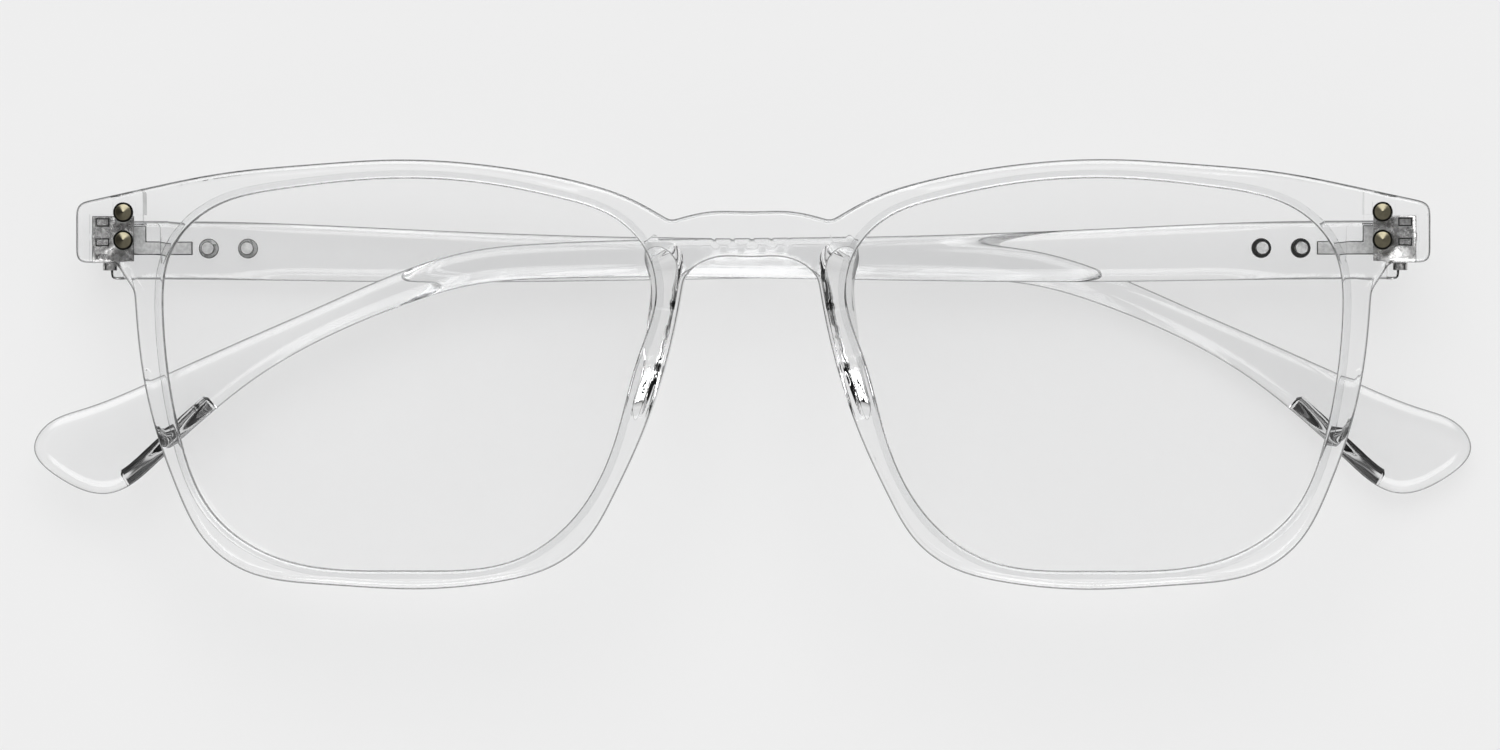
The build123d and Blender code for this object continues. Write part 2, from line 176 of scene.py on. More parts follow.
# How the meshes are divided, welded, eased and shaded, in millimetres and degrees
STEP = 0.35
CURVE_POINTS_PER_STEP = 4
CORNER_EASE = 0.4
INNER_GRID = 2.0
GRID_CLEARANCE = 0.7
ROUND_STEPS = 6
BEND_POINTS = 9
CIRCLE_STEPS = 40
LATHE_STEPS = 64
PAD_RINGS = 9
CDT_REACH = 1e-6
OPENING_ROUND = 0.35
# Faces whose normal leans further than this from straight up take the material with painted edge shade
EDGE_UPRIGHT = 0.83
KEY_DECIMALS = 3
WELD = 0.004
SEAM_ROUNDS = 3
SPECK = 0.0005
BEVEL_SEGMENTS = 2
SMOOTH_ANGLE = 32.0
CONE_SMOOTH_ANGLE = 20.0
SHARP_ANGLE = 40.0
FLAT_ANGLE = 2.0
LARGE_FACE_WEIGHT = 100

# How far the rims' back edge and the temples' faces fall away: inset and depth
RIM_BACK_FALL = (0.95, 1.3)
END_BACK_FALL = (0.35, 0.35)
NOSE_ZONE = (14.0, -4.0)
FALL_FADE = 5.0
TEMPLE_OUTER_FALL = (1.5, 0.95)
TEMPLE_INNER_FALL = (1.2, 0.5)
TEMPLE_FACET = (0.866, 0.93)
TEMPLE_FACET_FALL = (1.9, 2.2)
TEMPLE_FALL_START = 10.0
TEMPLE_FALL_FADE = 10.0


def smooth_curve(points, closed=False, start=None, end=None):
    """A curve with steady curvature through the points, as closely spaced points."""
    p = np.array(points, float)
    count = len(p)
    if closed:
        p = np.vstack([p, p[0]])
    gaps = np.linalg.norm(np.diff(p, axis=0), axis=1)
    slopes = np.diff(p, axis=0) / gaps[:, None]
    lhs = np.zeros((count, count))
    rhs = np.zeros((count, 2))
    for i in range(count):
        if not closed and i in (0, count - 1):
            fixed = start if i == 0 else end
            lhs[i, i] = 1.0
            if fixed is not None:
                rhs[i] = np.array(fixed) / np.linalg.norm(fixed)
            else:
                near = 1 if i == 0 else count - 2
                lhs[i, near] = 0.5
                rhs[i] = 1.5 * slopes[0 if i == 0 else -1]
            continue
        before, after = gaps[i - 1], gaps[i % len(gaps)]
        lhs[i, (i - 1) % count] += 1 / before
        lhs[i, i] += 2 / before + 2 / after
        lhs[i, (i + 1) % count] += 1 / after
        rhs[i] = 3 * (slopes[i - 1] / before + slopes[i % len(gaps)] / after)
    tangents = np.linalg.solve(lhs, rhs)
    out = []
    for i, gap in enumerate(gaps):
        m0, m1 = tangents[i] * gap, tangents[(i + 1) % count] * gap
        for t in np.arange(0, 1, STEP / gap / CURVE_POINTS_PER_STEP):
            a, b = 2 * t**3 - 3 * t**2 + 1, t**3 - 2 * t**2 + t
            c, d = -2 * t**3 + 3 * t**2, t**3 - t**2
            out.append(a * p[i] + b * m0 + c * p[i + 1] + d * m1)
    if not closed:
        out.append(p[-1])
    return np.array(out)


def round_corner(start, corner, end):
    """A round bend from one point to another that leaves both towards the corner."""
    a, b, c = (np.array(q, float) for q in (start, corner, end))
    steps = np.linspace(0, 1, BEND_POINTS)
    return np.array([a * (1 - t) ** 2 + b * 2 * t * (1 - t) + c * t**2 for t in steps])


def even_loop(points, ease):
    """A closed line through the points at an even step, with its corners eased."""
    p = np.vstack([points, points[0]])
    run = np.concatenate([[0], np.cumsum(np.linalg.norm(np.diff(p, axis=0), axis=1))])
    count = int(run[-1] / STEP)
    where = np.arange(count) * run[-1] / count
    loop = np.stack([np.interp(where, run, p[:, 0]), np.interp(where, run, p[:, 1])], axis=1)
    reach = int(3 * ease / STEP) + 1
    weights = np.exp(-0.5 * (np.arange(-reach, reach + 1) * STEP / ease) ** 2)
    weights /= weights.sum()
    return sum(w * np.roll(loop, -k, axis=0) for k, w in zip(range(-reach, reach + 1), weights))


def inward(loop):
    """Unit vectors that point into a closed line, whichever way it runs."""
    along = np.roll(loop, -1, axis=0) - np.roll(loop, 1, axis=0)
    along /= np.linalg.norm(along, axis=1)[:, None]
    side = np.stack([-along[:, 1], along[:, 0]], axis=1)
    x, y = loop[:, 0], loop[:, 1]
    area = np.sum(x * np.roll(y, -1) - np.roll(x, -1) * y)
    return side if area > 0 else -side


def within(points, outer, *holes):
    """Which of the points lie inside a closed line and outside the holes in it."""
    x, y = points[:, 0], points[:, 1]
    result = np.zeros(len(points), bool)
    for loop in (outer, *holes):
        for (x0, y0), (x1, y1) in zip(loop, np.roll(loop, -1, axis=0)):
            if y0 != y1:
                crosses = (y0 > y) != (y1 > y)
                result ^= crosses & (x < (x1 - x0) * (y - y0) / (y1 - y0) + x0)
    return result


def circle(x, y, radius, steps=CIRCLE_STEPS):
    """A closed round line."""
    turn = np.arange(steps) * 2 * math.pi / steps
    return np.stack([x + radius * np.cos(turn), y + radius * np.sin(turn)], axis=1)


def away_from(points, lines, clearance):
    """The points that keep clear of every line's points."""
    marks = np.vstack(lines)
    nearest = np.array([np.min(np.linalg.norm(marks - point, axis=1)) for point in points])
    return points[nearest > clearance]


def divided(line):
    """A line of straight runs with points at the mesh's step."""
    out = []
    for a, b in zip(line[:-1], line[1:]):
        steps = max(1, int(math.dist(a, b) / STEP))
        out += [tuple(np.array(a) + (np.array(b) - np.array(a)) * k / steps) for k in range(steps)]
    return np.array(out + [tuple(line[-1])])


def side_faces(outer, level, holes=(), lines=(), areas=()):
    """Triangles over one side of a plate: its areas lie at their own levels, with upright steps.

    lines are the open or closed edges of the areas, areas are closed outlines, tried in order,
    and level gives the height of area number i at a point (the last number is everywhere else).
    """
    loops = [outer, *holes]
    points, edges = [], []
    for number, line in enumerate([*loops, *lines]):
        first, count = len(points), len(line)
        points += [tuple(q) for q in line]
        edges += [(first + i, first + (i + 1) % count) for i in range(count - (number >= len(loops)))]
    low, high = outer.min(axis=0), outer.max(axis=0)
    xs = np.arange(low[0], high[0], INNER_GRID)
    ys = np.arange(low[1], high[1], INNER_GRID)
    grid = np.array([(x + (row % 2) * INNER_GRID / 2, y) for row, y in enumerate(ys) for x in xs])
    grid = away_from(grid[within(grid, *loops)], [*loops, *lines], GRID_CLEARANCE)
    points += [tuple(q) for q in grid]
    flat, _, faces, *_ = delaunay_2d_cdt([Vector(q) for q in points], edges, [], 0, CDT_REACH)
    flat = np.array([tuple(v) for v in flat])
    faces = np.array(faces)
    middles = flat[faces].mean(axis=1)
    keep = within(middles, *loops)
    faces, middles = faces[keep], middles[keep]
    owner = np.full(len(faces), len(areas))
    for number in reversed(range(len(areas))):
        owner[within(middles, areas[number])] = number
    solid_faces = []
    shared = {}
    heights = {}
    for face, area in zip(faces, owner):
        corners = [(*flat[i], level(area, *flat[i])) for i in face]
        solid_faces.append(corners)
        for i, corner in zip(face, corners):
            heights.setdefault(i, set()).add(corner[2])
        for a, b in zip(face, np.roll(face, -1)):
            shared.setdefault((min(a, b), max(a, b)), []).append(area)
    for (a, b), owners in shared.items():
        if len(owners) == 2 and owners[0] != owners[1]:
            step = []
            for i, (from_area, to_area) in ((a, owners), (b, owners[::-1])):
                one, two = level(from_area, *flat[i]), level(to_area, *flat[i])
                low, high = min(one, two), max(one, two)
                run = sorted(z for z in heights[i] if low <= z <= high)
                step += [(*flat[i], z) for z in (run if one < two else run[::-1])]
            solid_faces.append(step)
    return solid_faces


def ring_at(line, level):
    """A line's points at one level or at a level each."""
    return np.column_stack([line, np.full(len(line), level)])


def wall_faces(rings):
    """Quads between rings of points that run the same way."""
    faces = []
    for one, two in zip(rings[:-1], rings[1:]):
        count = len(one)
        for i in range(count):
            j = (i + 1) % count
            faces.append([tuple(one[i]), tuple(one[j]), tuple(two[j]), tuple(two[i])])
    return faces


def quarter(radius, steps=ROUND_STEPS):
    """A quarter round from a flat face to a wall: pairs of inset and depth."""
    turns = [math.pi / 2 * k / steps for k in range(steps + 1)]
    return [(radius * (1 - math.sin(t)), radius * (1 - math.cos(t))) for t in turns]


def eased(value):
    """A smooth rise from 0 to 1."""
    share = np.clip(value, 0, 1)
    return share * share * (3 - 2 * share)


def between(start, end, share):
    """Pairs of inset and depth for each station, from one pair to another."""
    return np.array(start) + (np.array(end) - np.array(start)) * np.asarray(share)[:, None]


def close_seams(work):
    """Splits each open edge where another open edge's corner lies on it, and welds the two."""
    for _ in range(SEAM_ROUNDS):
        open_edges = [e for e in work.edges if len(e.link_faces) == 1]
        corners = {v for e in open_edges for v in e.verts}
        found = False
        for edge in open_edges:
            a, b = (v.co.copy() for v in edge.verts)
            length = (b - a).length
            for v in corners - set(edge.verts):
                share = (v.co - a).dot(b - a) / length**2
                if WELD < share * length < length - WELD and (a.lerp(b, share) - v.co).length < WELD:
                    bmesh.utils.edge_split(edge, edge.verts[0], share)
                    found = True
                    break
        if not found:
            return
        bmesh.ops.remove_doubles(work, verts=work.verts, dist=WELD)


def new_object(name, data):
    """An object in the scene."""
    thing = bpy.data.objects.new(name, data)
    bpy.context.scene.collection.objects.link(thing)
    return thing


def solid_object(name, faces, place, material, edge_material=None):
    """A closed mesh from loose faces in millimetres, with its corners welded, put in its place.

    Faces that stand up from the flat sides may take a second material, the one with painted edge shade.
    """
    work = bmesh.new()
    seen = {}
    for face in faces:
        corners = []
        for corner in face:
            key = tuple(round(c, KEY_DECIMALS) for c in corner)
            if key not in seen:
                seen[key] = work.verts.new(corner)
            if seen[key] not in corners:
                corners.append(seen[key])
        if len(corners) > 2 and work.faces.get(corners) is None:
            work.faces.new(corners)
    bmesh.ops.remove_doubles(work, verts=work.verts, dist=WELD)
    close_seams(work)
    loose = [v for v in work.verts if not v.link_faces]
    bmesh.ops.delete(work, geom=loose, context="VERTS")
    if edge_material:
        for face in work.faces:
            face.normal_update()
            face.material_index = int(abs(face.normal.z) < EDGE_UPRIGHT)
    work.transform(place @ Matrix.Scale(MM, 4))
    bmesh.ops.recalc_face_normals(work, faces=work.faces)
    mesh = bpy.data.meshes.new(name)
    work.to_mesh(mesh)
    work.free()
    mesh.materials.append(material)
    if edge_material:
        mesh.materials.append(edge_material)
    return new_object(name, mesh)


def pick(piece):
    """Makes the piece the one that Blender's operators work on."""
    bpy.ops.object.select_all(action="DESELECT")
    piece.select_set(True)
    bpy.context.view_layer.objects.active = piece


def apply_modifier(piece, kind, **settings):
    """Adds a modifier with these settings and applies it."""
    pick(piece)
    modifier = piece.modifiers.new(kind.lower(), kind)
    for key, value in settings.items():
        setattr(modifier, key, value)
    bpy.ops.object.modifier_apply(modifier=modifier.name)


def combine(piece, operation, *block):
    """Cuts a closed block out of the piece, or makes one closed piece of the two."""
    other = solid_object(*block)
    apply_modifier(piece, "BOOLEAN", operation=operation, solver="EXACT", material_mode="TRANSFER",
                   object=other)
    bpy.data.objects.remove(other)


def drop_specks(piece):
    """Merges points that a mesh file can't tell apart, and drops the faces that collapse with them."""
    work = bmesh.new()
    work.from_mesh(piece.data)
    bmesh.ops.remove_doubles(work, verts=work.verts, dist=SPECK * MM)
    bmesh.ops.dissolve_degenerate(work, edges=work.edges, dist=SPECK * MM)
    work.to_mesh(piece.data)
    work.free()


def shade(piece, angle=SMOOTH_ANGLE):
    """Smooth shading but for the sharp edges, led by the large faces."""
    pick(piece)
    bpy.ops.object.shade_smooth_by_angle(angle=math.radians(angle))
    apply_modifier(piece, "WEIGHTED_NORMAL", keep_sharp=True, weight=LARGE_FACE_WEIGHT)
    return piece


def capped(rings):
    """A closed block over rings of points that run the same way."""
    return wall_faces(rings) + [list(map(tuple, ring)) for ring in (rings[0], rings[-1])]


def upright(loop, low, high):
    """A closed block over an outline, from one level to another."""
    return capped([ring_at(loop, low), ring_at(loop, high)])


def rectangle(low, high):
    """The corners of a rectangle."""
    return np.array([low, (high[0], low[1]), high, (low[0], high[1])], float)


def surface_level(x):
    """The level of the front's outer surface, which is 0 at its middle, at this distance from it."""
    return math.sqrt(FRONT_CURVE_RADIUS**2 - x**2) - FRONT_CURVE_RADIUS


def front_levels(spots):
    """The level of the front's outer surface at each spot."""
    return np.array([surface_level(x) for x, _ in spots])


def curved_ring(line, depth):
    """A line of points at this depth behind the front's outer surface."""
    return ring_at(line, front_levels(line) - depth)


def curved_wall(loop, profile):
    """A wall round a lens opening, from pairs of growth and depth."""
    outward = -inward(loop)
    return wall_faces([curved_ring(loop + outward * grow, depth) for grow, depth in profile])


def right_points(shares, half_width=RIM_HALF_WIDTH, half_height=RIM_HALF_HEIGHT):
    """Points about the wearer's right lens centre."""
    return [(-LENS_CENTRE + a * half_width, b * half_height) for a, b in shares]


def opening_loop():
    """The right lens opening."""
    points = right_points(OPENING_SHARES, OPENING_HALF_WIDTH, OPENING_HALF_HEIGHT)
    return even_loop(smooth_curve(points, closed=True), CORNER_EASE / 2)


def flipped(line):
    """The same line on the other side of the nose."""
    return np.array(line) * (-1, 1)


def front_loop():
    """The whole front's outline, from the top of the bridge round by the wearer's right."""
    brow = right_points(BROW_SHARES)
    rim = right_points(RIM_SHARES)
    end_top = (-FRONT_HALF_WIDTH, END_TOP)
    end_bottom = (-FRONT_HALF_WIDTH, END_BOTTOM)
    under_side = (rim[-1][0] / 2, BRIDGE_UNDER)
    brow_edge = smooth_curve(brow + [end_top])
    brow_edge = brow_edge[np.linalg.norm(brow_edge - end_top, axis=1) > END_CORNER_ROUND]
    half = np.vstack([
        smooth_curve([(0, BRIDGE_TOP), (brow[0][0] / 2, BRIDGE_TOP), brow[0]], start=(-1, 0)),
        brow_edge,
        round_corner(brow_edge[-1], end_top, (end_top[0], end_top[1] - END_CORNER_ROUND)),
        round_corner((end_bottom[0], end_bottom[1] + END_CORNER_ROUND), end_bottom,
                     (end_bottom[0] + END_CORNER_ROUND, end_bottom[1])),
        divided([END_FOOT, rim[0]]),
        smooth_curve(rim),
        smooth_curve([rim[-1], under_side, (0, BRIDGE_UNDER)], start=BRIDGE_LEG_DIRECTION, end=(1, 0)),
    ])
    return even_loop(np.vstack([half, flipped(half[-2:0:-1])]), CORNER_EASE)


def station_near(loop, point):
    """The number of the loop's point that lies nearest."""
    return int(np.argmin(np.linalg.norm(loop - np.array(point), axis=1)))


def turning_stations(outline):
    """Where the back changes level along the right half: at the brow, the hinge pocket and the foot."""
    upper = outline[:, 1] > END_BOTTOM + END_HEIGHT / 2
    brow = int(np.argmin(np.where(upper, np.abs(outline[:, 0] - TAB_WALL_X), np.inf)))
    pocket = station_near(outline, (-FRONT_HALF_WIDTH + END_WALL, END_BOTTOM))
    return brow, pocket, station_near(outline, END_FOOT)


def back_falls(outline, brow, foot):
    """How the back edge falls away at each station: least at the end pieces and beside the nose."""
    beyond_end = np.min([
        np.linalg.norm(outline * (side, 1) - outline[turn], axis=1)
        for side in (-1, 1) for turn in (brow, foot)
    ], axis=0)
    beyond_end[np.abs(outline[:, 0]) > -outline[brow][0]] = 0
    beyond_nose = np.maximum(np.abs(outline[:, 0]) - NOSE_ZONE[0], NOSE_ZONE[1] - outline[:, 1])
    free = eased(np.minimum(beyond_end, beyond_nose) / FALL_FADE)
    return between(END_BACK_FALL, RIM_BACK_FALL, free)


def end_areas(back_line, turns):
    """The edges and the areas of the right end piece's thick block and hinge pocket, on the back."""
    brow, pocket, foot = (tuple(back_line[turn]) for turn in turns)
    block_inner = -FRONT_HALF_WIDTH + END_BLOCK_REACH
    notch_left, notch_right = RIVET_X - LEAF_TAB_HALF, RIVET_X + LEAF_TAB_HALF
    pocket_top = STACK_CENTRE + STACK_HALF + POCKET_GAP
    below = END_BOTTOM - END_HEIGHT
    bend = round_corner((block_inner, THICK_TOP - THICK_CORNER), (block_inner, THICK_TOP),
                        (block_inner - THICK_CORNER, THICK_TOP))
    thick_line = [(block_inner, END_BOTTOM), *map(tuple, bend)]
    thick_line += [(TAB_WALL_X, THICK_TOP), (TAB_WALL_X, pocket_top)]
    block_line = [foot, *thick_line, brow]
    pocket_line = [
        pocket, (pocket[0], pocket_top),
        (notch_left, pocket_top), (notch_left, NOTCH_TOP), (notch_right, NOTCH_TOP),
        (notch_right, pocket_top), (TAB_WALL_X, pocket_top),
    ]
    block_area = block_line + [
        (brow[0], RIM_HALF_HEIGHT * 2), (-FRONT_HALF_WIDTH * 2, RIM_HALF_HEIGHT * 2),
        (-FRONT_HALF_WIDTH * 2, below), (foot[0], below),
    ]
    pocket_area = pocket_line + thick_line[-2::-1] + [foot, (foot[0], below), (pocket[0], below)]
    return (block_line, pocket_line), (pocket_area, block_area)


def outer_wall(outline, normals, fall, turns):
    """The wall round the front. A station where the back changes level is there twice."""
    brow, pocket, foot = turns
    count = len(outline)

    def end_depth(i):
        j = i if i <= count // 2 else count - i
        if brow <= j < pocket:
            return END_DEPTH
        if pocket <= j < foot:
            return POCKET_FLOOR
        return None

    stations = []
    doubled = {*turns, *(count - turn for turn in turns)}
    for i in range(count):
        depths = [end_depth(i - 1), end_depth(i + 1)] if i in doubled else [end_depth(i)]
        stations += [(i, depth) for depth in depths]
    index = [i for i, _ in stations]
    line, ins, falls = outline[index], normals[index], fall[index]
    at_end = np.array([depth is not None for _, depth in stations])
    end_levels = np.array([-(depth or 0) for _, depth in stations])
    rings = [curved_ring(line + ins * inset, depth) for inset, depth in quarter(FRONT_EDGE_ROUND)]
    for inset, depth in reversed(quarter(1.0)):
        spots = line + ins * inset * falls[:, :1]
        levels = np.where(at_end, end_levels, front_levels(spots) - FRONT_THICKNESS)
        rings.append(ring_at(spots, levels + depth * falls[:, 1]))
    return wall_faces(rings)


def opening_wall(opening):
    """A lens opening's wall, with its edges eased and the groove for the lens's tongue."""
    groove_bottom = GROOVE_TOP + TONGUE_THICKNESS
    profile = quarter(OPENING_ROUND) + [(0, GROOVE_TOP), (GROOVE_DEPTH, GROOVE_TOP)]
    profile += [(GROOVE_DEPTH, groove_bottom), (0, groove_bottom)]
    profile += [(inset, FRONT_THICKNESS - depth) for inset, depth in reversed(quarter(OPENING_ROUND))]
    return curved_wall(opening, profile)


def front_faces():
    """The front's faces: rims, bridge, end pieces, lens grooves and hinge pockets."""
    outline = front_loop()
    normals = inward(outline)
    turns = turning_stations(outline)
    fall = back_falls(outline, turns[0], turns[2])
    openings = [opening_loop(), flipped(opening_loop())]
    rivets = [(side * RIVET_X, height) for side in (1, -1) for height in FRONT_RIVET_HEIGHTS]
    seats = [circle(x, y, RIVET_SEAT_RADIUS) for x, y in rivets]
    shanks = [circle(x, y, RIVET_BORE_RADIUS) for x, y in rivets]
    seat_level = surface_level(RIVET_X) - RIVET_SINK

    faces = outer_wall(outline, normals, fall, turns)
    for opening in openings:
        faces += opening_wall(opening)
    for shank in shanks:
        faces += wall_faces([ring_at(shank, level) for level in (seat_level, -POCKET_FLOOR)])

    def front_level(area, x, y):
        return seat_level if area < len(seats) else surface_level(x)

    opened = [opening - inward(opening) * OPENING_ROUND for opening in openings]
    seat_lines = [np.vstack([seat, seat[:1]]) for seat in seats]
    front_line = outline + normals * FRONT_EDGE_ROUND
    faces += side_faces(front_line, front_level, opened + shanks, seat_lines, seats)

    back_line = outline + normals * fall[:, :1]
    lines, areas = end_areas(back_line, turns)
    area_lines = [divided(side(line)) for line in lines for side in (np.array, flipped)]
    areas = [side(area) for area in areas for side in (np.array, flipped)]
    depths = [POCKET_FLOOR, POCKET_FLOOR, END_DEPTH, END_DEPTH]

    def back_level(area, x, y):
        return -depths[area] if area < len(depths) else surface_level(x) - FRONT_THICKNESS

    return faces + side_faces(back_line, back_level, opened + shanks, area_lines, areas)


def lens_faces():
    """The right lens: a thin curved plate with a tongue round its edge."""
    opening = opening_loop()
    inset = (FRONT_THICKNESS - LENS_THICKNESS) / 2
    tongue_inset = GROOVE_TOP + LENS_FIT_GAP
    tongue_end = tongue_inset + TONGUE_THICKNESS - 2 * LENS_FIT_GAP
    tongue_reach = GROOVE_DEPTH - LENS_FIT_GAP
    profile = [(-LENS_FIT_GAP, inset), (-LENS_FIT_GAP, tongue_inset)]
    profile += [(tongue_reach, tongue_inset), (tongue_reach, tongue_end)]
    profile += [(-LENS_FIT_GAP, tongue_end), (-LENS_FIT_GAP, inset + LENS_THICKNESS)]
    faces = curved_wall(opening, profile)
    edge = opening + inward(opening) * LENS_FIT_GAP
    for depth in (inset, inset + LENS_THICKNESS):
        faces += side_faces(edge, lambda area, x, y, d=depth: surface_level(x) - d)
    return faces


def temple_loop():
    """The right temple's outline, folded, with X from the hinge's axis."""
    upper, lower = (
        [(reach * TEMPLE_REACH, TEMPLE_CENTRE - drop * TEMPLE_DROP + way * height * TEMPLE_HEIGHT / 2)
         for reach, drop, height in TEMPLE_STATION_SHARES] for way in (1, -1)
    )
    end = [(a * TEMPLE_REACH, TEMPLE_CENTRE - b * TEMPLE_DROP) for a, b in TEMPLE_END_SHARES]
    upper_edge = smooth_curve(upper)
    lower_edge = smooth_curve(lower)
    end_edge = smooth_curve(
        [upper[-1], *end, lower[-1]],
        start=upper_edge[-1] - upper_edge[-2], end=lower_edge[-2] - lower_edge[-1],
    )
    hinge_edge = divided([lower[0], upper[0]])
    edges = [upper_edge, end_edge[1:-1], lower_edge[::-1], hinge_edge[1:-1]]
    return even_loop(np.vstack(edges), CORNER_EASE)


def temple_inner_level(x):
    """The level of the temple's inner face, which comes down towards the tip."""
    start = 2 * TEMPLE_TONGUE_REACH
    share = min(max((x - start) / (TEMPLE_REACH - start), 0), 1)
    return INNER_FACE - share * (TEMPLE_THICKNESS - TEMPLE_TIP_THICKNESS)


def temple_faces():
    """The right temple before its hinge seat and rivet holes are cut."""
    outline = temple_loop()
    normals = inward(outline)
    near_hinge = (TEMPLE_EDGE_ROUND, TEMPLE_EDGE_ROUND)
    free = eased((outline[:, 0] - TEMPLE_FALL_START) / TEMPLE_FALL_FADE)
    inner_fall = between(near_hinge, TEMPLE_INNER_FALL, free)
    outer_fall = between(near_hinge, TEMPLE_OUTER_FALL, free)
    reach = outline[:, 0] / TEMPLE_REACH
    facet = (reach > TEMPLE_FACET[0]) & (reach < TEMPLE_FACET[1]) & (normals[:, 1] > 0)
    outer_fall[facet] = TEMPLE_FACET_FALL
    rings = []
    for inset, depth in quarter(1.0, 2 * ROUND_STEPS):
        spots = outline + normals * inset * inner_fall[:, :1]
        levels = np.array([temple_inner_level(x) for x, _ in spots])
        rings.append(ring_at(spots, levels - depth * inner_fall[:, 1]))
    outer_steps = list(reversed(quarter(1.0, 2 * ROUND_STEPS)))
    for k, (inset, depth) in enumerate(outer_steps):
        straight = k / (len(outer_steps) - 1)
        insets = np.where(facet, straight, inset)
        depths = np.where(facet, 1 - straight, depth)
        spots = outline + normals * (insets * outer_fall[:, 0])[:, None]
        rings.append(ring_at(spots, depths * outer_fall[:, 1] - AXIS_TO_OUTER))
    faces = wall_faces(rings)
    faces += side_faces(outline + normals * inner_fall[:, :1], lambda area, x, y: temple_inner_level(x))
    return faces + side_faces(outline + normals * outer_fall[:, :1], lambda area, x, y: -AXIS_TO_OUTER)


def temple_cuts():
    """What is cut from the right temple: room for the knuckles, the leaf's seat, rivet holes."""
    lid = INNER_FACE + OVERRUN
    turn = circle(0, 0, KNUCKLE_RADIUS + KNUCKLE_RELIEF)
    ends = (TEMPLE_CENTRE - TEMPLE_HEIGHT, TEMPLE_CENTRE + TEMPLE_HEIGHT)
    knuckle_room = capped([ring_at(turn, end)[:, [0, 2, 1]] for end in ends])
    seat = INNER_FACE - LEAF_SEAT
    low, high = TEMPLE_PLATE_HEIGHTS
    plate = rectangle((0, low), (TEMPLE_PLATE_REACH, high))
    tongue = rectangle(
        (TEMPLE_PLATE_REACH - OVERRUN, TEMPLE_RIVET_HEIGHT - TEMPLE_TONGUE_HALF),
        (TEMPLE_TONGUE_REACH, TEMPLE_RIVET_HEIGHT + TEMPLE_TONGUE_HALF),
    )
    cuts = [knuckle_room, upright(plate, seat, lid), upright(tongue, seat, lid)]
    holes = ((RIVET_BORE_RADIUS, lid), (RIVET_SEAT_RADIUS, 2 * RIVET_SINK - AXIS_TO_OUTER))
    for reach in TEMPLE_RIVET_REACHES:
        for radius, top in holes:
            cuts.append(upright(circle(reach, TEMPLE_RIVET_HEIGHT, radius), -2 * AXIS_TO_OUTER, top))
    return cuts


def pad_faces():
    """The right nose pad, leaning outward behind the rim, with its back edge rounded."""
    outline = np.array(right_points(PAD_SHARES))
    loop = even_loop(smooth_curve(outline, closed=True), CORNER_EASE / 2)
    middle = outline.mean(axis=0)
    rings = []
    top = FRONT_THICKNESS - PAD_OVERLAP
    rise = np.minimum(eased((loop[:, 1] - PAD_TAIL[1]) / (PAD_TAIL[0] - PAD_TAIL[1])),
                      np.clip((PAD_HEAD[1] - loop[:, 1]) / (PAD_HEAD[1] - PAD_HEAD[0]), 0, 1))
    full = PAD_END_SHARE + (1 - PAD_END_SHARE) * rise
    for share in np.linspace(0, 1, PAD_RINGS):
        depth = top + share * (PAD_DEPTH - PAD_ROUND + PAD_OVERLAP) * full
        size = 1 + share**PAD_TAPER * (PAD_BACK_SHARE - 1)
        lean = np.array([-PAD_LEAN * share, 0])
        spots = middle + lean + (loop - middle) * size
        rings.append(ring_at(spots, front_levels(spots) * (1 - share) - depth))
    last = rings[-1]
    pull = inward(last[:, :2])
    for inset, depth in reversed(quarter(PAD_ROUND)[:-1]):
        spots = last[:, :2] + pull * inset * full[:, None]
        rings.append(ring_at(spots, last[:, 2] - (PAD_ROUND - depth) * full))
    end = rings[-1]
    order = [Vector(p) for p in end[:, :2]]
    count = len(order)
    round_it = [(i, (i + 1) % count) for i in range(count)]
    _, _, lids, *_ = delaunay_2d_cdt(order, round_it, [], 1, CDT_REACH)
    lid = [[tuple(end[i]) for i in face] for face in lids if max(face) < count]
    return wall_faces(rings) + [list(map(tuple, rings[0]))] + lid


# Finishes, with painted shade on the clear edges, the nose pads, the metal's eased edges and grooves, and
# the rivet rims
CLEAR_IOR = 1.49
LENS_IOR = 1.5
CLEAR_COLOUR = (0.986, 0.988, 0.99, 1)
LENS_COLOUR = (0.992, 0.993, 0.994, 1)
LENS_SHADOW_COLOUR = (0.97, 0.97, 0.97, 1)
# Painted shade: the nose pads take this greyer colour for their grey look
PAD_PAINTED_SHADE_COLOUR = (0.865, 0.867, 0.868, 1)
# Painted shade: clear edges darken towards the next colour as they turn away from the view
EDGE_SHADE_TILTS = (0.15, 0.42)
EDGE_SHADE_COLOUR = (0.08, 0.082, 0.084, 1)
POLISH_SCALE = 160.0
WAVE_SCALE = 45.0
WAVE_HEIGHT = 0.0002
WAVE_STRENGTH = 0.05
MOTTLE_SCALE = 2600.0
MOTTLE_SPREAD = (-1.0, 2.0)
GRAIN_SCALE = 900.0
GRAIN_HEIGHT = 0.00005
TURNED_STRETCH = 0.9


def node_setup(name):
    """A new material and its empty node tree."""
    material = bpy.data.materials.new(name)
    material.use_nodes = True
    material.node_tree.nodes.clear()
    return material, material.node_tree


def put(tree, socket, value):
    """Gives an input a value, or links it to another node's output."""
    if isinstance(value, bpy.types.NodeSocket):
        tree.links.new(value, socket)
    else:
        socket.default_value = value


def add(tree, kind, *values, **named):
    """Adds a node and fills its inputs, in their order or by name."""
    node = tree.nodes.new(kind)
    for socket, value in zip(node.inputs, values):
        put(tree, socket, value)
    for key, value in named.items():
        put(tree, node.inputs[key.replace("_", " ")], value)
    return node


def calculated(tree, operation, one, two):
    """The result of a calculation on two numbers."""
    node = add(tree, "ShaderNodeMath", one, two)
    node.operation = operation
    return node.outputs["Value"]


def surfaced(material, shader):
    """The material, with this shader as its surface."""
    add(material.node_tree, "ShaderNodeOutputMaterial", Surface=shader)
    return material


def fine_noise(tree, scale, detail=3.0):
    """Noise over the piece's own space, in object coordinates."""
    spot = add(tree, "ShaderNodeTexCoord").outputs["Object"]
    return add(tree, "ShaderNodeTexNoise", Vector=spot, Scale=scale, Detail=detail).outputs["Fac"]


